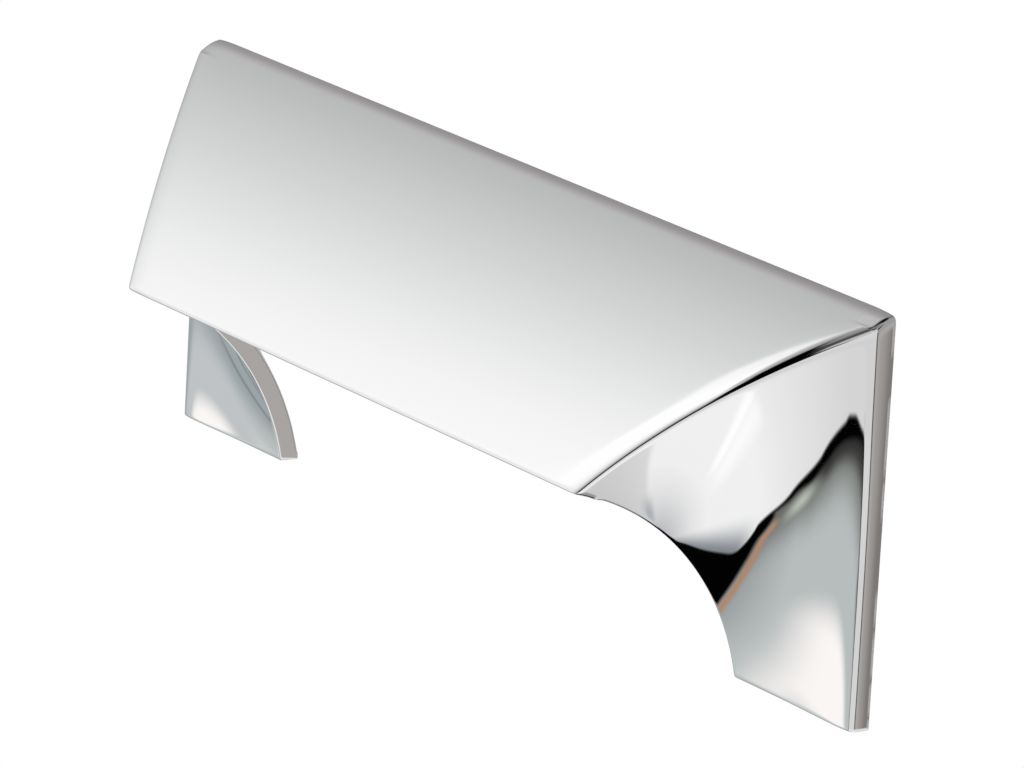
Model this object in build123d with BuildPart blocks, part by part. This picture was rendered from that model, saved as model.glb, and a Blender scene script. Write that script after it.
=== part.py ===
from build123d import *
from math import asin, atan2, copysign, cos, degrees, radians, sin, sqrt, tan
import os

# A one-piece die-cast drawer pull: a bowed front plate over an open finger space,
# with a twisted cheek at each end that sweeps back to the drawer front.
# X runs along the drawer, +Y points into it and +Z is up. The back face is at
# Y = 0, and the origin is midway between the two screw holes.

# Overall size
length = 120.0
height = 40.0
depth = 21.5
wall = 2.0

# Front plate: one shallow arc that leaves the brow at a given slope below the
# horizontal and ends at the lip. The brow is a tighter arc in front of the back face.
lip_height = 20.0
slope_at_top = 33.0
brow_depth = 1.5
brow_radius = 4.0

# Finger opening, cut square at both sides
finger_width = 81.4
arc_radius = 25.6

# Screw bosses, with blind holes tapped from the back
hole_spacing = 96.0
hole_height = 28.0
boss_radius = 4.0
boss_draft = 1.5
hole_radius = 1.65
hole_depth = 7.5
drill_point = 118.0

# Back rim: its width at the ends, and how far the cheek's inner face would start
# inside the drawer front, which leaves the foot of each cheek solid
land = 1.5
foot = 0.1

# Edge radii: the mitred seams with the end faces, the finger opening's front edges,
# and the lip's inner edge
edge_round = 0.9
arc_round = 0.25
lip_round = 0.4

# Sections lofted into each cheek, how far these run past the seam as a share of
# their own length, and how far a cutter runs past what it cuts
sections = 5
overrun = 0.05
clear = 3.0

# Places worked out from the sizes, with heights measured from the screw holes
half = length / 2
cut = finger_width / 2
bottom = -hole_height
top = bottom + height
lip = bottom + lip_height


def mix(a, b, share):
    """The value that lies the given share of the way from a to b."""
    return a + (b - a) * share


def downhill(angle):
    """Unit vector in the (Y, Z) plane, forwards and below the horizontal by an angle."""
    return Vector(-cos(radians(angle)), -sin(radians(angle)))


def inwards(angle):
    """Unit vector square to downhill, pointing back into the plate."""
    return Vector(sin(radians(angle)), -cos(radians(angle)))


# The plate's profile: where it starts below the brow, and its slope, radius and
# centre, all from the chord between its two ends
top_angle = radians(slope_at_top)
brow_angle = asin(sin(top_angle) - brow_depth / brow_radius)
brow_drop = brow_radius * (cos(brow_angle) - cos(top_angle))
plate_start = Vector(-brow_depth, top - brow_drop)
plate_end = Vector(-depth, lip)
plate_chord = plate_end - plate_start
half_turn = atan2(-plate_chord.Y, -plate_chord.X) - top_angle
slope_at_lip = slope_at_top + degrees(2 * half_turn)
plate_radius = plate_chord.length / 2 / sin(half_turn)
plate_centre = plate_start + inwards(slope_at_top) * plate_radius


def plate_point(y):
    """The point (Y, Z) of the plate's outer profile at a given Y."""
    rise = sqrt(plate_radius**2 - (y - plate_centre.X) ** 2)
    return Vector(y, plate_centre.Y + copysign(rise, plate_radius))


def arc_curve(inset):
    """The finger arc as four Bezier control points, from the bottom edge to the lip.

    The arc has its centre in front of the pull and below it. The inset makes the
    radius larger about the same centre, for the cheek's inner face.
    """
    start = Vector(-wall, bottom)
    end = Vector(-depth, lip)
    chord = end - start
    rise = sqrt(arc_radius**2 - (chord.length / 2) ** 2)
    centre = (start + end) / 2 + Vector(-chord.Y, chord.X) * (rise / chord.length)
    turn = 2 * asin(chord.length / 2 / arc_radius)
    grow = 1 + inset / arc_radius
    first = (start - centre) * grow
    last = (end - centre) * grow
    reach = 4 / 3 * tan(turn / 4)
    return (
        centre + first,
        centre + first + Vector(-first.Y, first.X) * reach,
        centre + last - Vector(-last.Y, last.X) * reach,
        centre + last,
    )


def cheek_curve(share, inset):
    """Four control points of the cheek's section, at a share of the way to its end.

    The section goes from the finger arc, at share 0, to the straight upright end
    edge, at share 1. Its top is lifted from the straight line between the seam's
    two ends to the seam itself, which lies on the bowed plate.
    """
    mitre = atan2(depth - wall, half - cut)
    end_top = plate_point(-wall)
    seam = plate_point(mix(-depth, -wall, share))
    lift = seam - mix(Vector(-depth, lip), end_top, share)
    points = []
    for step, arc_point in enumerate(arc_curve(inset)):
        up = step / 3
        back = mix(inset, inset / cos(mitre), up)
        edge_point = Vector(-wall + back, mix(bottom, end_top.Y, up))
        points.append(mix(arc_point, edge_point, share) + lift * up)
    return run_on(points, 1 + overrun)


def run_on(points, reach):
    """The same cubic curve carried on past its end, to a given value of its parameter."""
    a, b, c, d = points
    ab = mix(a, b, reach)
    bc = mix(b, c, reach)
    cd = mix(c, d, reach)
    abc = mix(ab, bc, reach)
    bcd = mix(bc, cd, reach)
    return a, ab, abc, mix(abc, bcd, reach)


def cheek_section(number, inset, back):
    """One closed section of an end, by its number from the arc out to the end face.

    It is bounded in front by the cheek, below by a level edge, behind at the given
    Y, and above the pull, where the plate trims it later.
    """
    share = number / (sections - 1)
    with BuildSketch(Plane.YZ.offset(mix(cut, half, share))) as section:
        with BuildLine():
            a, b, c, d = cheek_curve(share, inset)
            Bezier(a, b, c, d)
            Polyline(d, (d.X, top + clear), (back, top + clear), (back, a.Y), a)
        make_face()
    return section.sketch


def room_section(x):
    """What lies behind the plate's inner face, as a face at the given X."""
    start = plate_start + inwards(slope_at_top) * wall
    end = plate_end + inwards(slope_at_lip) * wall
    front = end + downhill(slope_at_lip) * clear
    low = bottom - clear
    with BuildSketch(Plane.YZ.offset(x)) as section:
        with BuildLine():
            TangentArc(start, end, tangent=downhill(slope_at_top))
            Polyline(end, front, (front.X, low), (clear, low), (clear, start.Y), start)
        make_face()
    return section.sketch


# Everything behind the brow's and the plate's outer faces, and on down past the lip
with BuildSketch(Plane.YZ.offset(-half)) as plate_outside:
    with BuildLine():
        RadiusArc((0, top), plate_start, -brow_radius)
        TangentArc(plate_start, plate_end, tangent=downhill(slope_at_top))
        front = plate_end + downhill(slope_at_lip) * clear
        Polyline(plate_end, front, (front.X, bottom), (0, bottom), (0, top))
    make_face()

# Solid form of the whole pull, before it is hollowed. The finger arc runs right
# through under the lip, and the plate trims the cheeks along two mitred seams.
with BuildPart() as form:
    loft([cheek_section(number, 0, 0) for number in range(sections)])
    mirror(about=Plane.YZ)
    extrude(cheek_section(0, 0, 0), amount=-finger_width)
    extrude(plate_outside.sketch, amount=length, mode=Mode.INTERSECT)

    # The seams are the plate's two end edges, and each end face is rounded all along
    # its front
    plate_edges = faces().filter_by(GeomType.CYLINDER).sort_by(SortBy.AREA)[-1].edges()
    end_edges = faces().sort_by(Axis.X)[0].edges() + faces().sort_by(Axis.X)[-1].edges()
    front_edges = end_edges.filter_by_position(Axis.Y, -depth, -brow_depth / 4)
    rim_edges = front_edges.filter_by_position(Axis.Z, bottom + clear, top)
    seams = [plate_edges.sort_by(Axis.X)[0], plate_edges.sort_by(Axis.X)[-1]]
    fillet(seams + rim_edges, edge_round)

# Room behind each cheek, a wall's thickness inside it
with BuildPart() as end_rooms:
    loft([cheek_section(number, wall + foot, clear) for number in range(sections)])
    extrude(cheek_section(0, wall + foot, clear), amount=-clear)
    mirror(about=Plane.YZ)
    extrude(room_section(land - half), amount=length - 2 * land, mode=Mode.INTERSECT)

# Screw bosses inside the form, drafted so that the core draws out of the back
with BuildPart() as bosses:
    with BuildSketch(Plane.ZX):
        with Locations((0, -hole_spacing / 2), (0, hole_spacing / 2)):
            Circle(boss_radius)
    extrude(amount=-depth, taper=-boss_draft)
    add(form, mode=Mode.INTERSECT)

# Blind hole for a machine screw, as the drill leaves it
with BuildPart() as screw_hole:
    with BuildSketch():
        with BuildLine():
            tip = -hole_depth - hole_radius / tan(radians(drill_point / 2))
            Polyline(
                (0, clear),
                (hole_radius, clear),
                (hole_radius, -hole_depth),
                (0, tip),
                close=True,
            )
        make_face()
    revolve(axis=Axis.Y)

# The casting: the form with the finger space and both rooms taken out, the bosses put
# back and drilled, and the edges that fingers meet rounded
with BuildPart() as handle:
    add(form)
    extrude(room_section(-cut), amount=finger_width, mode=Mode.SUBTRACT)
    add(end_rooms, mode=Mode.SUBTRACT)
    add(bosses)
    with Locations((-hole_spacing / 2, 0, 0), (hole_spacing / 2, 0, 0)):
        add(screw_hole, mode=Mode.SUBTRACT)
    lip_edges = edges().filter_by_position(Axis.X, -clear, clear).sort_by(Axis.Y)
    cut_faces = faces().filter_by(Plane.YZ).filter_by_position(Axis.X, -cut - clear, cut + clear)
    arc_edges = [face.edges().sort_by(SortBy.LENGTH)[-2:].sort_by(Axis.Y)[0] for face in cut_faces]
    fillet([lip_edges[0]] + arc_edges, arc_round)
    lip_edges = edges().filter_by_position(Axis.X, -clear, clear).sort_by(Axis.Y)
    fillet(lip_edges[2], lip_round)

os.makedirs("parts", exist_ok=True)
handle.part.label = "handle"
export_step(handle.part, "parts/handle.step")
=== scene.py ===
from math import asin, atan2, cos, degrees, pi, radians, sin, sqrt, tan

import bmesh
import bpy
import numpy as np
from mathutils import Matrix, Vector


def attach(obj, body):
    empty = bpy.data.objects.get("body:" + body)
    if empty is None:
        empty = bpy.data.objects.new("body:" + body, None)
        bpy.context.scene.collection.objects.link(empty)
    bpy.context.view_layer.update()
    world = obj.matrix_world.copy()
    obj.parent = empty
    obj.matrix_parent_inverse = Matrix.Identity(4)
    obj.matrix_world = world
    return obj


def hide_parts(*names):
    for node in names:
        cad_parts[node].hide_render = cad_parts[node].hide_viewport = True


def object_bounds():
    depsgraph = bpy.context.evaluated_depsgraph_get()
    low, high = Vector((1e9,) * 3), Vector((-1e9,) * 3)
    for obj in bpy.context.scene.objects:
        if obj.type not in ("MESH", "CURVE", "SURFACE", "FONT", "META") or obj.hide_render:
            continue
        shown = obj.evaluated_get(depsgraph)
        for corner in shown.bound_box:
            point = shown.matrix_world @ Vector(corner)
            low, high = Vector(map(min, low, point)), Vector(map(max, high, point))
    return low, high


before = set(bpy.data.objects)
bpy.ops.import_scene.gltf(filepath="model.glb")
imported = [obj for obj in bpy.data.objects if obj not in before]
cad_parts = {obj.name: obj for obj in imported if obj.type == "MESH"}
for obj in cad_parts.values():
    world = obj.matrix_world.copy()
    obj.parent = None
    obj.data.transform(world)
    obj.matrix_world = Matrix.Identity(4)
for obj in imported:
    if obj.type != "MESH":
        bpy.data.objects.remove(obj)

cad_low, cad_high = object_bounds()
MM = 0.001

# The handle: one shell, die-cast in zinc, polished on every face that shows and then
# chrome plated. A bowed plate runs across the front, a twisted cheek closes each end,
# and the drawer front closes the back. Sizes are in millimetres, as the maker has them.
LENGTH = (cad_high.x - cad_low.x) / MM
HEIGHT = (cad_high.z - cad_low.z) / MM
BOTTOM = cad_low.z / MM
TOP = BOTTOM + HEIGHT
DEPTH = 21.5
WALL = 2.0
LIP_HEIGHT = 20.0
FINGER_HALF = 40.7
ARC_RADIUS = 25.6
TOP_SLOPE = radians(33.0)
BROW_DEPTH = 1.5
BROW_RADIUS = 4.0
LIP = BOTTOM + LIP_HEIGHT
HALF = LENGTH / 2


def inwards(angle):
    """Unit vector (Y, Z) into the plate, where it slopes down forwards at the angle."""
    return np.array([sin(angle), -cos(angle)])


# The plate's profile is one arc, tangent to the brow above it, and ends at the lip
brow_angle = asin(sin(TOP_SLOPE) - BROW_DEPTH / BROW_RADIUS)
brow_centre = np.array([0, TOP]) + inwards(brow_angle) * BROW_RADIUS
brow_drop = BROW_RADIUS * (cos(brow_angle) - cos(TOP_SLOPE))
plate_start = np.array([-BROW_DEPTH, TOP - brow_drop])
lip_corner = np.array([-DEPTH, LIP])
chord = lip_corner - plate_start
half_turn = atan2(-chord[1], -chord[0]) - TOP_SLOPE
plate_radius = np.hypot(*chord) / 2 / sin(half_turn)
plate_centre = plate_start + inwards(TOP_SLOPE) * plate_radius


def top_height(y):
    """Z of the outside at a depth Y: the brow's circle behind the join, the plate's in front."""
    brow = brow_centre[1] + np.sqrt(np.maximum(BROW_RADIUS**2 - (y - brow_centre[0]) ** 2, 0))
    plate = plate_centre[1] + np.sqrt(plate_radius**2 - (y - plate_centre[0]) ** 2)
    return np.where(y > -BROW_DEPTH, brow, plate)


def inner_height(y):
    """Z of the plate's inner face at a depth Y, on a circle about the same centre."""
    return plate_centre[1] + np.sqrt((plate_radius - WALL) ** 2 - (y - plate_centre[0]) ** 2)


def above_inside(points):
    """How far (Y, Z) points lie above the plate's inner face: their radius less that face's."""
    return np.hypot(*np.moveaxis(points - plate_centre, -1, 0)) - (plate_radius - WALL)


end_top = np.array([-WALL, top_height(np.array(-WALL))])
mitre = atan2(DEPTH - WALL, HALF - FINGER_HALF)


def finger_arc(v, inset):
    """The finger arc as a cubic Bezier in v, from the foot at 0 to the lip at 1.

    Its circle has the same centre for the outside and, grown by the inset, the inside.
    """
    foot = np.array([-WALL, BOTTOM])
    reach = lip_corner - foot
    span = np.hypot(*reach)
    rise = sqrt(ARC_RADIUS**2 - (span / 2) ** 2)
    centre = (foot + lip_corner) / 2 + np.array([-reach[1], reach[0]]) * rise / span
    turn = 2 * asin(span / 2 / ARC_RADIUS)
    first = (foot - centre) * (1 + inset / ARC_RADIUS)
    last = (lip_corner - centre) * (1 + inset / ARC_RADIUS)
    pull = 4 / 3 * tan(turn / 4)
    second = first + np.array([-first[1], first[0]]) * pull
    third = last - np.array([-last[1], last[0]]) * pull
    v = np.asarray(v, float)[..., None]
    w = 1 - v
    return centre + w**3 * first + 3 * w * w * v * second + 3 * w * v * v * third + v**3 * last


def cheek(share, v, inset=0.0):
    """(Y, Z) of the cheek at a share of the way from the finger arc to the end, and v up it.

    A ruled surface between the arc and the upright end edge, lifted in step with v so
    that its top follows the mitred seam on the bowed plate. The inset moves it inside.
    """
    share, v = np.broadcast_arrays(np.asarray(share, float), np.asarray(v, float))
    y = -DEPTH + (DEPTH - WALL) * share
    seam = np.stack([y, top_height(y)], -1)
    lift = seam - (lip_corner + (end_top - lip_corner) * share[..., None])
    back = inset + (inset / cos(mitre) - inset) * v
    end_edge = np.stack([back - WALL, BOTTOM + (end_top[1] - BOTTOM) * v], -1)
    across = share[..., None]
    return finger_arc(v, inset) * (1 - across) + end_edge * across + lift * v[..., None]


def crossing(function, low, high, rounds=48):
    """Where a function changes sign between two limits, by halving the gap."""
    low, high = np.broadcast_arrays(np.asarray(low, float), np.asarray(high, float))
    sign = np.sign(function(low))
    for _ in range(rounds):
        middle = (low + high) / 2
        same = np.sign(function(middle)) == sign
        low, high = np.where(same, middle, low), np.where(same, high, middle)
    return (low + high) / 2


def graded(count, first, last):
    """0 to 1 in so many steps, by the cubic whose first and last steps have the lengths given."""
    h = 1 / count
    near, far, flat = h * (1 - h) ** 2, -h * h * (1 - h), 3 * h * h - 2 * h**3
    first, last = (np.asarray(step, float)[..., None] - flat for step in (first, last))
    a = (first * near - last * far) / (near**2 - far**2)
    b = (last * near - first * far) / (near**2 - far**2)
    t = np.linspace(0, 1, count + 1)
    return (a + b - 2) * t**3 + (3 - 2 * a - b) * t**2 + a * t


def chained(first, second):
    """Two runs of points end to end, with the one that they share given once."""
    return np.concatenate([first, second[1:]])


def mix(a, b, share):
    """The values that lie the given share of the way from a to b."""
    return a + (b - a) * share


def solid(x, yz):
    """(X, Y, Z) points from an X, or an array of them, and (Y, Z) points."""
    x = np.broadcast_to(np.asarray(x, float), yz.shape[:-1])
    return np.concatenate([x[..., None], yz], -1)


def swept(half, yz, corner):
    """A row of points across the pull at each (Y, Z), out to plus and minus its half-width.

    The corner is the width of the last column at each side. After subdivision the edge
    there is rounded over about that width.
    """
    half, corner = np.broadcast_arrays(np.asarray(half, float), np.asarray(corner, float))
    x = half[:, None] * (2 * graded(ACROSS, corner / half / 2, corner / half / 2) - 1)
    return solid(x, np.repeat(yz[:, None], ACROSS + 1, 1))


# How many steps each direction has. A step beside an edge sets how tightly the subdivided
# surface turns round it, so it is about 1.7 times the radius there.
ACROSS = 36
OUT = 17
THROUGH = 6
FOOT_ROWS, ROOM_ROWS, LIP_ROWS = 4, 16, 4
LOW_ROWS = FOOT_ROWS + ROOM_ROWS
UP = LOW_ROWS + LIP_ROWS
ARC_STEP, SEAM_STEP, FOOT_STEP, TOP_STEP = 0.45, 0.6, 0.5, 1.2

# The upright end edges are linished before polishing, which leaves a narrow soft flat
BEVEL, BEVEL_STEP, FACE_STEP = 0.42, 0.15, 0.3

run = HALF - FINGER_HALF
lip_v = crossing(lambda v: above_inside(finger_arc(v, 0)), 0.8, 1.0)
arc_length = ARC_RADIUS * 2 * asin(np.hypot(DEPTH - WALL, LIP - BOTTOM) / 2 / ARC_RADIUS)
end_height = end_top[1] - BOTTOM
rows_at_arc = chained(
    graded(LOW_ROWS, FOOT_STEP / arc_length / lip_v, 1 / LOW_ROWS / 2) * lip_v,
    lip_v + graded(LIP_ROWS, 1 / LIP_ROWS, SEAM_STEP / arc_length / (1 - lip_v)) * (1 - lip_v))
rows_at_end = graded(UP, FOOT_STEP / end_height, TOP_STEP / end_height)
columns = graded(OUT, ARC_STEP / run, BEVEL_STEP / run) * (1 - BEVEL / run)

# Outside. Hand polishing wears the plate off towards its seams, most of all at the edge,
# so there both faces stop a little short of where they would meet. The wear on the
# cheek fades out close to the end.
WORN, WORN_WIDTH, WORN_POWER = 0.16, 3.0, 6
NEAR_TOP = 0.05
up = mix(rows_at_arc, rows_at_end, columns[:, None])
height_by_v = np.linalg.norm(cheek(columns, 1.0) - cheek(columns, 1 - NEAR_TOP), axis=-1) / NEAR_TOP
up = up * (1 - WORN * (1 - (columns / columns[-1]) ** WORN_POWER) / height_by_v)[:, None]
cheek_face = solid(FINGER_HALF + run * columns[:, None], cheek(columns[:, None], up))

# Polishing also rolls the cheek into the flat at the end, less and less towards the top,
# and turns it in once more below three quarters of the height. Beside the end, the foot
# of the cheek swells outwards.
ROLL, ROLL_WIDTH, ROLL_GROWTH = 0.12, 2.0, 1.7
TURN_IN, TURN_WIDTH, TURN_TOP, TURN_FADE = 0.08, 1.2, 0.75, 0.22
SWELL, SWELL_WIDTH, SWELL_POWER = 0.25, 12.0, 0.8
to_end = run * (columns[-1] - columns[:, None])
rolled = ROLL * np.minimum(ROLL_GROWTH * (1 - up), 1)
turned = TURN_IN * np.clip((TURN_TOP - up) / TURN_FADE, 0, 1)
nearer = np.maximum(1 - to_end / SWELL_WIDTH, 0)
cheek_face[..., 1] += rolled * np.maximum(1 - to_end / ROLL_WIDTH, 0) ** 2
cheek_face[..., 1] += turned * np.maximum(1 - to_end / TURN_WIDTH, 0) ** 2
cheek_face[..., 1] -= SWELL * (1 - up) ** SWELL_POWER * nearer**2 * (3 - 2 * nearer)

# The end face bows inwards a little towards the drawer, behind the flat
END_BOW, BACK_SHARE = 0.04, 0.16
through = graded(THROUGH, FACE_STEP / WALL, BACK_SHARE)
end_y = (cheek_face[-1, :, 1] + BEVEL) * (1 - through[:, None])
end_face = np.stack(np.broadcast_arrays(
    (HALF - END_BOW * through**2)[:, None], end_y, mix(BOTTOM, top_height(end_y[:, -1:]), up[-1])), -1)
bevel_width = BEVEL * sqrt(2)
bevel_share = np.array([0, BEVEL_STEP, bevel_width - FACE_STEP, bevel_width]) / bevel_width
bevel = mix(cheek_face[-1], end_face[0], bevel_share[:, None, None])

# The plate ends at the seams and over the end faces, where its top corners are eased.
# Its edges are rounded more and more towards the ends, and less again behind.
SEAM_CORNERS, END_CORNERS = (1.1, 1.7), (1.5, 0.8)
CORNER_DROP, CORNER_ROWS = 0.22, 3
seam_y = -DEPTH + (DEPTH - WALL) * columns
seam = np.stack([seam_y, top_height(seam_y)], -1)
edge = chained(chained(solid(FINGER_HALF + run * columns, seam), bevel[:, -1]), end_face[:, -1])
corner = np.append(mix(*SEAM_CORNERS, columns**2), np.linspace(*END_CORNERS, len(edge) - OUT - 1))
plate = swept(edge[:, 0], edge[:, 1:], corner)
wear = np.maximum(1 - (edge[:, :1] - np.abs(plate[..., 0])) / WORN_WIDTH, 0) ** 2
plate[: OUT + 1, :, 1:] += wear[: OUT + 1, :, None] * (cheek_face[:, -1, 1:] - seam)[:, None]
drop = CORNER_DROP * np.clip((np.arange(len(edge)) - OUT) / CORNER_ROWS, 0, 1)
plate[..., 2] -= drop[:, None] * wear
bevel[:, -1, 2] -= drop[OUT : OUT + len(bevel)]
end_face[:, -1, 2] -= drop[OUT + len(bevel) - 1 :]

# Inside: the room behind each cheek, the plate's inner face, and the rim that seats on
# the drawer front. The foot of each cheek stays solid.
LAND, FOOT = 1.5, 0.1
ROOM_STEP, INNER_CORNER = 0.4, 0.6
ROOM = HALF - LAND
room_share = (ROOM - FINGER_HALF) / run
room_shares = graded(OUT - 1, ROOM_STEP / run / room_share, 1 / (OUT - 1)) * room_share
room_x = FINGER_HALF + run * room_shares
room_inset = WALL + FOOT
top_v = crossing(lambda v: above_inside(cheek(room_shares, v, room_inset)), 0.5, 1.1)
foot_v = crossing(lambda v: cheek(room_shares, v, room_inset)[..., 0], 0.0, 0.5)
inner_v = mix(foot_v[:, None], top_v[:, None], graded(ROOM_ROWS, first=0.02, last=0.02))
room_face = solid(room_x[:, None], cheek(room_shares[:, None], inner_v, room_inset))
foot_back = np.stack(np.broadcast_arrays(
    room_x[:, None], 0.0, mix(BOTTOM, room_face[:, :1, 2], np.linspace(0, 1, FOOT_ROWS + 1))), -1)

# The plate's inner face in three parts: between the seams, behind the lip and up to the rim
inner_seam = room_face[:, -1, 1:]
inner_plate = swept(room_x, inner_seam, INNER_CORNER)
behind_lip_y = mix(finger_arc(lip_v, 0)[0], inner_seam[0, 0], graded(THROUGH, first=0.14, last=0.2))
behind_lip_yz = np.stack([behind_lip_y, inner_height(behind_lip_y)], -1)
behind_lip = swept(np.full(THROUGH + 1, FINGER_HALF), behind_lip_yz, INNER_CORNER)
ceiling_y = inner_seam[-1, 0] * (1 - graded(LIP_ROWS, first=0.25, last=0.1))
ceiling_yz = np.stack([ceiling_y, inner_height(ceiling_y)], -1)
ceiling = swept(np.full(LIP_ROWS + 1, ROOM), ceiling_yz, INNER_CORNER)

# The narrow underside of the lip, which the finger arc cuts
lip_corners = mix(INNER_CORNER, SEAM_CORNERS[0], np.linspace(0, 1, LIP_ROWS + 1))
lip_end = swept(np.full(LIP_ROWS + 1, FINGER_HALF), finger_arc(up[0, -LIP_ROWS - 1 :], 0), lip_corners)
lip_end[-1] = plate[0]

# The rim against the drawer front, and the end wall of each room
rim_share = np.array([0, 0.6, 0.75, 0.9, 1])[:, None, None]
rim_top = mix(ceiling[-1], plate[-1], rim_share)
room_side = chained(chained(foot_back[-1], room_face[-1]), ceiling[:, -1])
room_back = room_side * [1, 0, 1]
rim_side = mix(room_back, end_face[-1], rim_share)
room_end = np.stack([room_side[FOOT_ROWS:], room_back[FOOT_ROWS:]], 1)

# The underside of each foot, and the cut face along the finger arc
foot_front = chained(cheek_face[:, 0], bevel[:, 0])
foot_rim = chained(foot_back[:, 0], rim_side[:, 0])
foot_face = mix(foot_front[:, None], foot_rim[:, None], through[:, None])
foot_face[-1] = end_face[:, 0]
cut_inside = chained(foot_back[0], room_face[0])
cut_share = graded(THROUGH, first=0.14, last=0.14)[:, None]
cut_face = mix(cheek_face[0, :-LIP_ROWS, None], cut_inside[:, None], cut_share)
cut_face[0] = foot_face[0]
cut_face[-1] = behind_lip[:, -1]

# Faces that show, then those left as cast; a pair stands at both ends
shown = [plate, lip_end]
shown_pairs = [cheek_face, bevel, end_face, foot_face, cut_face]
hidden = [behind_lip, inner_plate, ceiling, rim_top]
hidden_pairs = [room_face, foot_back, rim_side, room_end]
mirrored = np.array([-1, 1, 1])

# Points nearer to each other than this are one
WELD = 0.004


def joined(name, patches, levels):
    """A closed mesh from grids of points: their borders are welded, then it is subdivided.

    Each patch is (points, value), and its value goes into the mesh's cast attribute.
    Edges of the back plane stay sharp.
    """
    points, faces, values, base = [], [], [], 0
    for grid, value in patches:
        m, n = grid.shape[:2]
        index = base + np.arange(m * n).reshape(m, n)
        quads = np.stack([index[:-1, :-1], index[1:, :-1], index[1:, 1:], index[:-1, 1:]], -1)
        points.append(grid.reshape(-1, 3) * MM)
        faces.append(quads.reshape(-1, 4))
        values.append(np.full(m * n, float(value)))
        base += m * n
    mesh = bpy.data.meshes.new(name)
    mesh.from_pydata(np.concatenate(points), [], np.concatenate(faces).tolist())
    mesh.attributes.new("cast", "FLOAT", "POINT").data.foreach_set("value", np.concatenate(values))
    work = bmesh.new()
    work.from_mesh(mesh)
    bmesh.ops.remove_doubles(work, verts=work.verts, dist=WELD * MM)
    bmesh.ops.dissolve_degenerate(work, edges=work.edges, dist=WELD * MM)
    bmesh.ops.recalc_face_normals(work, faces=work.faces)
    for face in work.faces:
        face.smooth = True
    crease = work.edges.layers.float.new("crease_edge")
    for side in work.edges:
        back = [all(abs(v.co.y) < WELD * MM for v in face.verts) for face in side.link_faces]
        if sum(back) == 1:
            side[crease] = 1
            side.smooth = False
    work.to_mesh(mesh)
    work.free()
    piece = bpy.data.objects.new(name, mesh)
    bpy.context.collection.objects.link(piece)
    rounds = piece.modifiers.new("subdivision", "SUBSURF")
    rounds.levels = rounds.render_levels = levels
    return piece


cage = joined("shell_cage",
              [(grid, 0) for grid in shown]
              + [(grid * side, 0) for grid in shown_pairs for side in (1, mirrored)]
              + [(grid, 1) for grid in hidden]
              + [(grid * side, 1) for grid in hidden_pairs for side in (1, mirrored)], 2)

# The screw bosses, cast with the shell and drafted so that the core draws out of the
# back. Each has a blind hole, drilled, countersunk and then tapped M4 by the maker.
BOSS_X, BOSS_RADIUS, BOSS_DRAFT, DRAFT_LENGTH = 48.0, 4.0, radians(1.5), 12.0
CORE_RADIUS, HOLE_DEPTH, DRILL_POINT = 1.65, 7.5, radians(118)
PITCH, THREAD_DEPTH, SINK_DEPTH, SINK_WIDTH = 0.7, 0.3, 0.4, 0.2
SIDES, TURN_STEPS, ROOT_RINGS = 48, 8, 6


def skin(x, z):
    """Y of the outer skin at (X, Z): whichever of the plate and the cheek is farther back."""
    plate_skin = plate_centre[0] - np.sqrt(plate_radius**2 - (z - plate_centre[1]) ** 2)
    share = (np.abs(x) - FINGER_HALF) / run
    v = crossing(lambda v: cheek(share, v)[..., 1] - z, 0.0, 1.2)
    return np.maximum(plate_skin, cheek(share, v)[..., 0])


def boss(centre):
    """Rings of points, from the drill's tip out of the hole, round the boss and to its root.

    The thread is a ridge whose height depends on y / pitch less the share of a turn,
    cut flat at its crest and root. The boss's root lies inside the wall.
    """
    turn = np.linspace(0, 2 * pi, SIDES + 1)
    thread_rings = round((HOLE_DEPTH - SINK_DEPTH) / PITCH * TURN_STEPS) + 1
    depth = np.linspace(HOLE_DEPTH, SINK_DEPTH, thread_rings)[:, None]
    wave = np.abs(2 * ((depth / PITCH - turn / (2 * pi)) % 1) - 1)
    runout = np.clip((HOLE_DEPTH - depth) / PITCH, 0, 1)
    thread = CORE_RADIUS + THREAD_DEPTH * runout * np.clip(1.5 * wave - 0.25, 0, 1)
    tip = HOLE_DEPTH + CORE_RADIUS / tan(DRILL_POINT / 2)

    # The flat seat round the mouth, then the boss's rounded edge and its root
    mouth = CORE_RADIUS + THREAD_DEPTH + SINK_WIDTH
    seat_radii = np.array([mouth, mouth + 0.4, BOSS_RADIUS - 0.3, BOSS_RADIUS - 0.08, BOSS_RADIUS])
    seat_depths = np.array([0.0, 0.0, 0.0, 0.03, 0.2])
    root_radius = BOSS_RADIUS + DRAFT_LENGTH * tan(BOSS_DRAFT)
    root_radii = np.linspace(1, 0, ROOT_RINGS)[:, None] * root_radius
    root = -skin(centre + root_radii * np.cos(turn), root_radii * np.sin(turn)) - WALL / 2
    radii = [np.zeros((1, 1)), thread, seat_radii[:, None], root_radii]
    depths = [np.full((1, 1), tip), depth, seat_depths[:, None], root]
    radii, depths = (np.concatenate([np.broadcast_to(ring, (len(ring), SIDES + 1)) for ring in rings])
                     for rings in (radii, depths))
    return np.stack([centre + radii * np.cos(turn), -depths, radii * np.sin(turn)], -1)


bosses = joined("boss_cage", [(boss(x), 1) for x in (-BOSS_X, BOSS_X)], 0)

# One casting: the subdivided shell and the bosses in a single mesh
graph = bpy.context.evaluated_depsgraph_get()
casting = bmesh.new()
for source in (cage, bosses):
    casting.from_mesh(bpy.data.meshes.new_from_object(source.evaluated_get(graph)))
    bpy.data.objects.remove(source)
handle = bpy.data.objects.new("handle_shell", bpy.data.meshes.new("handle_shell"))
casting.to_mesh(handle.data)
casting.free()
bpy.context.collection.objects.link(handle)
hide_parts("handle")
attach(handle, "root")

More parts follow.
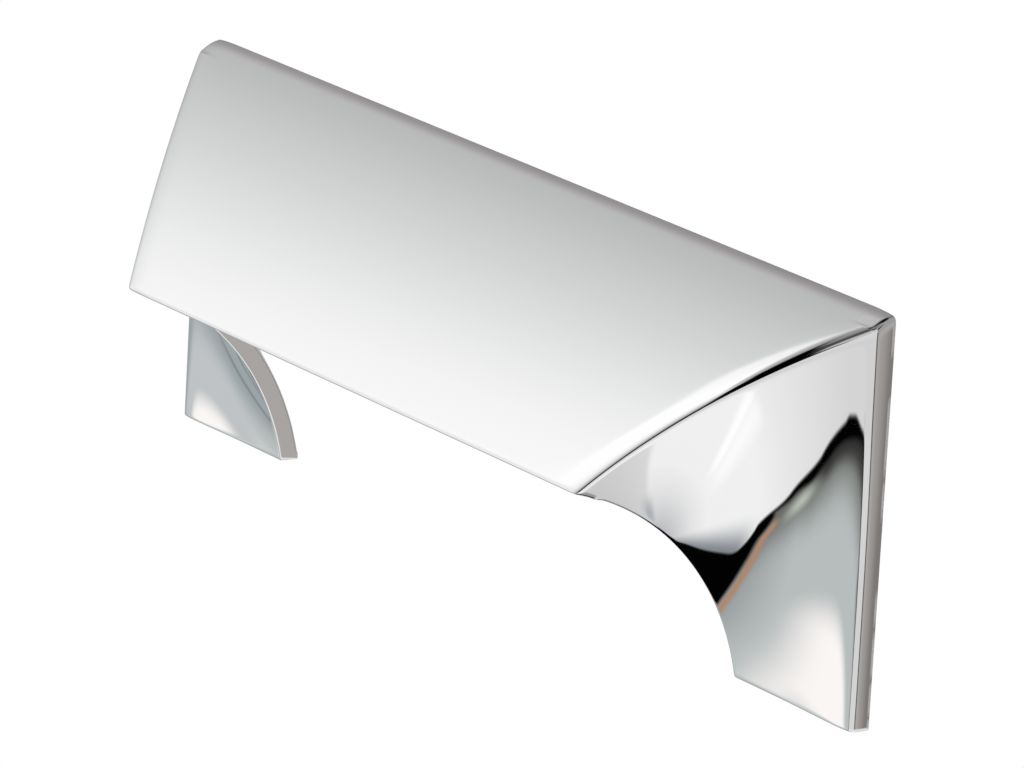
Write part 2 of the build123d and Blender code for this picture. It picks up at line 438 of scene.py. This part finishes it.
# Chrome plate: a mirror with the faint haze and ripple of a hand-polished casting. The
# inside is plated too, but as it came out of the die, so there it is dull and grainy.
CHROME = (0.87, 0.87, 0.87, 1.0)
AS_CAST = (0.72, 0.725, 0.73, 1.0)
SMOOTH, SMOOTH_HAZE = 0.012, 0.03
DULL, DULL_GRAIN = 0.34, 0.16
RIPPLE, RELIEF = 0.03, 0.05 * MM


class Wire:
    """A shader socket that takes part in arithmetic; each operator adds the node for it."""

    def __init__(self, tree, socket):
        self.tree, self.socket = tree, socket

    def node(self, kind, settings, inputs, output=0):
        """Adds a node: first its settings, a ramp's stops among them, then wires or constants."""
        node = self.tree.nodes.new(kind)
        for name, value in settings.items():
            if name == "stops":
                elements = node.color_ramp.elements
                for _ in value[2:]:
                    elements.new(0.5)
                for element, (position, colour) in zip(elements, value):
                    element.position = position
                    element.color = colour
            elif name == "interpolation":
                node.color_ramp.interpolation = value
            else:
                setattr(node, name, value)
        for name, value in inputs.items():
            if isinstance(value, Wire):
                self.tree.links.new(value.socket, node.inputs[name])
            else:
                node.inputs[name].default_value = value
        return Wire(self.tree, node.outputs[output])

    def maths(self, operation, *others):
        """The result of a Math node whose first input is this."""
        return self.node("ShaderNodeMath", {"operation": operation}, dict(enumerate((self, *others))))

    def __add__(self, other):
        return self.maths("ADD", other)

    def __mul__(self, other):
        return self.maths("MULTIPLY", other)

    def __sub__(self, other):
        return self.maths("SUBTRACT", other)

    def __rsub__(self, other):
        return self.maths("MULTIPLY_ADD", -1, other)

    __radd__, __rmul__ = __add__, __mul__

    def step(self, start, end):
        """A smooth rise from 0 where this is at start to 1 where it is at end."""
        limits = {"Value": self, "From Min": start, "From Max": end, "To Min": 0.0, "To Max": 1.0}
        return self.node("ShaderNodeMapRange", {"interpolation_type": "SMOOTHSTEP"}, limits)

    def bell(self, centre, reach):
        """1 where this is at the centre, falling smoothly to 0 at the reach on either side."""
        return (self - centre).maths("ABSOLUTE").step(reach, 0)

    def ramp(self, *stops, interpolation="LINEAR"):
        """Colours along this value, from (value, colour) stops."""
        start, end = stops[0][0], stops[-1][0]
        share = self.node("ShaderNodeMapRange", {}, {"Value": self, "From Min": start, "From Max": end})
        stops = [((value - start) / (end - start), colour) for value, colour in stops]
        settings = {"stops": stops, "interpolation": interpolation}
        return self.node("ShaderNodeValToRGB", settings, {"Fac": share})

    def curve(self, *points):
        """A smooth curve through (value, result) points, as a ramp of greys between its limits."""
        low, high = min(y for x, y in points), max(y for x, y in points)
        greys = [(x, (*[(y - low) / (high - low)] * 3, 1.0)) for x, y in points]
        return self.ramp(*greys, interpolation="CARDINAL") * (high - low) + low

    def tint(self, colour, share):
        """This colour with the given share of another laid over it."""
        return self.node("ShaderNodeMix", {"data_type": "RGBA"}, {0: share, 6: self, 7: colour}, 2)


chrome = bpy.data.materials.new("polished_chrome")
chrome.use_nodes = True
tree = chrome.node_tree
shader = tree.nodes["Principled BSDF"]
place = Wire(tree, tree.nodes.new("ShaderNodeTexCoord").outputs["Object"])
cast = place.node("ShaderNodeAttribute", {"attribute_name": "cast"}, {}, "Fac")
haze = place.node("ShaderNodeTexNoise", {}, {"Vector": place, "Scale": 45.0, "Detail": 4.0})
ripple = place.node("ShaderNodeTexNoise", {}, {"Vector": place, "Scale": 160.0, "Detail": 1.0})
grain = place.node("ShaderNodeTexNoise", {}, {"Vector": place, "Scale": 2200.0, "Detail": 5.0})
roughness = mix(SMOOTH + SMOOTH_HAZE * haze, DULL + DULL_GRAIN * grain, cast)
surface = {"Height": ripple * RIPPLE + grain * cast, "Strength": 1.0, "Distance": RELIEF}
bump = place.node("ShaderNodeBump", {}, surface, "Normal")
shader.inputs["Metallic"].default_value = 1
for wire, name in ((roughness, "Roughness"), (bump, "Normal")):
    tree.links.new(wire.socket, shader.inputs[name])
plating = cast.node("ShaderNodeMix", {"data_type": "RGBA"}, {0: cast, 6: CHROME, 7: AS_CAST}, 2)
tree.links.new(plating.socket, shader.inputs["Base Color"])
handle.data.materials.append(chrome)

# The camera, long and nearly level, from the right-hand front
camera = bpy.data.objects.new("camera", bpy.data.cameras.new("camera"))
bpy.context.collection.objects.link(camera)
camera.data.lens = 315.59
camera.location = Vector((702.87, -476.96, 216.36)) * MM
camera.rotation_euler = (radians(75.067), radians(-3.1225), radians(56.764))
camera.data.clip_end = 20
bpy.context.scene.camera = camera

# A pale floor and a pale dome behind it. Only the camera sees them, so that they leave
# no colour of their own in the chrome.
pale = bpy.data.materials.new("pale")
pale.use_nodes = True
pale.node_tree.nodes.clear()
paper = pale.node_tree.nodes.new("ShaderNodeEmission")
output = pale.node_tree.nodes.new("ShaderNodeOutputMaterial")
pale.node_tree.links.new(paper.outputs[0], output.inputs["Surface"])
bpy.ops.mesh.primitive_plane_add(size=5, location=(0, 0, -1.2))
floor = bpy.context.object
bpy.ops.mesh.primitive_uv_sphere_add(segments=64, ring_count=32, radius=3)
dome = bpy.context.object
for backdrop in (floor, dome):
    backdrop.data.materials.append(pale)
    backdrop.visible_glossy = backdrop.visible_diffuse = backdrop.visible_shadow = False
floor.name, dome.name = "floor", "dome"


# The studio, as the chrome sees it. Each place has a turn, 0 in front and 90 to the
# right, and a rise above the horizon, both in degrees.
def shade(red, green=None, blue=None):
    """A colour in linear light from how bright it should look, 0 to 255; one value is a grey."""
    looks = np.array([red, red if green is None else green, red if blue is None else blue]) / 255
    return (*np.where(looks > 0.04045, ((looks + 0.055) / 1.055) ** 2.4, looks / 12.92), 1.0)


world = bpy.data.worlds.new("studio")
bpy.context.scene.world = world
world.use_nodes = True
tree = world.node_tree
way = Wire(tree, tree.nodes.new("ShaderNodeTexCoord").outputs["Generated"])
parts = way.node("ShaderNodeSeparateXYZ", {}, {"Vector": way}).socket.node
x, y, z = (Wire(tree, socket) for socket in parts.outputs)
turn = x.maths("ARCTAN2", y * -1) * degrees(1)
rise = z.maths("ARCSINE") * degrees(1)
background = tree.nodes["Background"]
background.inputs["Strength"].default_value = 1 / CHROME[1]

# A broad soft light stands to the left in front, brightest where it faces the pull, with
# a glow along its upper rim that fades upwards into the room
soft = turn.ramp((-180, shade(150)), (-125, shade(124)), (-106, shade(158, 154, 157)),
                 (-96, shade(177, 175, 176)), (-88, shade(187, 190, 189)), (-78, shade(210, 213, 212)),
                 (-65, shade(244)), (-57, shade(252)), (-45, shade(232)), (-25, shade(188)),
                 (-11, shade(160)), (-3, shade(85)), (3, shade(30)), (30, shade(4)))
rim = turn.curve((-100, 37), (-88, 39), (-76, 35.5), (-66, 30), (-58, 20))
glow = turn.ramp((-100, shade(226)), (-80, shade(238)), (-74, shade(246)), (-67, shade(254)))
soft = soft.tint(glow, (rise - rim).step(0.6, 2.6) * turn.step(-93, -82) * turn.step(-52, -58))
soft = soft.tint(shade(229), rise.step(24, 8) * turn.bell(-58, 16))
fade = rise.ramp((40, shade(205)), (42, shade(172)), (45, shade(128)), (50, shade(122)))
fade = fade.tint(shade(188), turn.step(-74, -84))
soft = soft.tint(fade, rise.step(39.6, 41) * turn.step(-98, -90))

# The room is black in a band above the light and paler again over that, up to the
# ceiling, and it is a dull grey at the sides
band = turn.curve((-75, 46), (-50, 43), (-35, 41), (-14, 33.5), (-4, 28), (10, 18), (30, -6))
soft = soft.tint(shade(2), (rise - band).step(-1.1, 0.6) * turn.step(-74, -62))
sheen = turn.curve((-80, 44), (-60, 46), (-48, 46.8), (-38, 46.8), (-29, 45.2),
                   (-13, 40.2), (-3, 35.8), (10, 25), (17, 18.4), (24, 10))
above = turn.ramp((-110, shade(150)), (-84, shade(188)), (-69, shade(150)), (-48, shade(125)),
                  (-38, shade(90)), (-20, shade(64)), (-13, shade(74)), (0, shade(150)), (8, shade(192)))
soft = soft.tint(above, (rise - sheen).step(-0.5, 1) * turn.step(-96, -86) * turn.step(34, 26))
soft = soft.tint(shade(150), rise.step(66, 80))
nook = turn.step(-126, -108) * turn.step(-56, -74) * rise.step(48, 58) * rise.step(84, 74)
soft = soft.tint(shade(18, 14, 14), nook)
dull_side = ((50, shade(208)), (57, shade(200)), (63, shade(92, 88, 88)), (84, shade(92, 88, 88)),
             (90, shade(162, 159, 157)), (126, shade(168, 164, 161)), (128.5, shade(152, 148, 146)),
             (130.5, shade(122, 118, 116)), (150, shade(150)))
side = turn.ramp((17, shade(215)), *dull_side)
soft = soft.tint(side, turn.step(18, 21.5) * rise.step(62, 50))
soft = soft.tint(shade(154), turn.step(60, 80) * rise.step(5, 25))

# White ground to the right with a long gleam on it, greyer towards its left edge, right
# under the pull, and in the corner at the far right
white = rise.ramp((-90, shade(172, 176, 181)), (-84, shade(200, 202, 204)), (-77, shade(226)),
                  (-70, shade(239)), (-50, shade(240)), (-42, shade(233)), (-30, shade(223)),
                  (-20, shade(212)))
slant = turn - 0.68 * (rise + 47)
gleam = slant.bell(50, 6).maths("MAXIMUM", slant.bell(42, 13) * 0.7)
white = white.tint(shade(254), gleam * rise.step(-43, -46.5) * rise.step(-70, -60))
far_right = (turn + 0.8 * (rise + 69)).step(98, 106) * rise.step(-58, -66)
white = white.tint(turn.ramp((100, shade(216)), (142, shade(200))), far_right)
white = white.tint(shade(160, 165, 171), turn.bell(112, 16) * rise.bell(-81, 6) * 0.8)
white = white.tint(shade(128, 134, 142), turn.step(-3, -27) * rise.step(-46, -56))

# Blue-grey ground to the left, darker towards the cloth, with the soft light's own pool
# on it and a greyer margin at its far left
cloth = rise.curve((-60, -21), (-52, -24), (-46, -11), (-37, -2.5), (-30, 3), (-24, 10.5), (-15, 16))
grey = rise.ramp((-50, shade(148, 153, 154)), (-34, shade(183, 189, 189)))
grey = grey.tint(shade(105, 107, 102), (turn - cloth).step(-30, -1).maths("POWER", 1.6))
grey = grey.tint(shade(52), (turn - cloth).step(-9, -1.5) * rise.step(-34, -29))
grey = grey.tint(shade(196, 204, 192), (turn + 5 - (rise + 34)).bell(0, 5) * rise.bell(-34, 8) * 0.75)
across = ((turn + 52).maths("ABSOLUTE") - 5).maths("MAXIMUM", 0) * 1.2
pool = across.maths("POWER", 2) + (rise + 18).maths("POWER", 2)
grey = grey.tint(shade(250, 246, 244), pool.maths("SQRT").step(17, 2))
grey = grey.tint(shade(190, 194, 196), turn.step(-57, -62) * rise.step(-27, -23))
grey = grey.tint(shade(154, 162, 165), turn.step(-68, -84))
grey = grey.tint(shade(118, 128, 134), turn.bell(-86.5, 3) * rise.step(-20, -24) * 0.8)

# A black cloth lies between them, with a brown edge towards the grey
hem = rise.curve((-90, -14), (-75, -24), (-60, -27), (-54, -24), (-49, -12), (-38, -1.3), (-28, 9),
                 (-21, 17.6), (-18.6, 19.3), (-17.4, 16.6), (-16, 15.5))
near = turn.curve((-60, -50), (-50, -51), (-30, -50), (-18, -47.5), (-9, -43))
ground = grey.tint(white, (turn - hem).step(-1, 1.5))
under = (rise - near).step(1, -1)
brown = (rise - near).bell(1.8, 2.4) * turn.step(-9, -14) * (1 - under) * (turn - hem).step(1, -1)
ground = ground.tint(shade(172, 135, 110), brown)
black = (turn - cloth).step(-2, 1).maths("MAXIMUM", under) * (turn - hem).step(1.5, -1)
ground = ground.tint(shade(2), black)

# Where the ground ends
skyline = turn.ramp((-60, shade(215)), (-26, shade(180)), (-18, shade(60)), (-14, shade(4)),
                    (16, shade(4)), (21, shade(208)), *dull_side)
left_end = rise.step(-17, -16.2) * turn.step(-40, -30)
right_end = turn.step(58, 64) * rise.step(-24, -18)
ground = ground.tint(skyline, left_end.maths("MAXIMUM", right_end))
seen = ground.tint(soft, rise.step(-12, -4))

# Behind the pull, where only other views look, a paler wall under a second soft light
paler = rise.ramp((-70, shade(150)), (-10, shade(190)), (20, shade(240)), (60, shade(250)))
behind = turn.step(148, 164).maths("MAXIMUM", turn.step(-140, -158))
seen = seen.tint(paler, behind * rise.step(72, 58))
tree.links.new(seen.socket, background.inputs["Color"])
bpy.context.scene.view_settings.view_transform = "Standard"
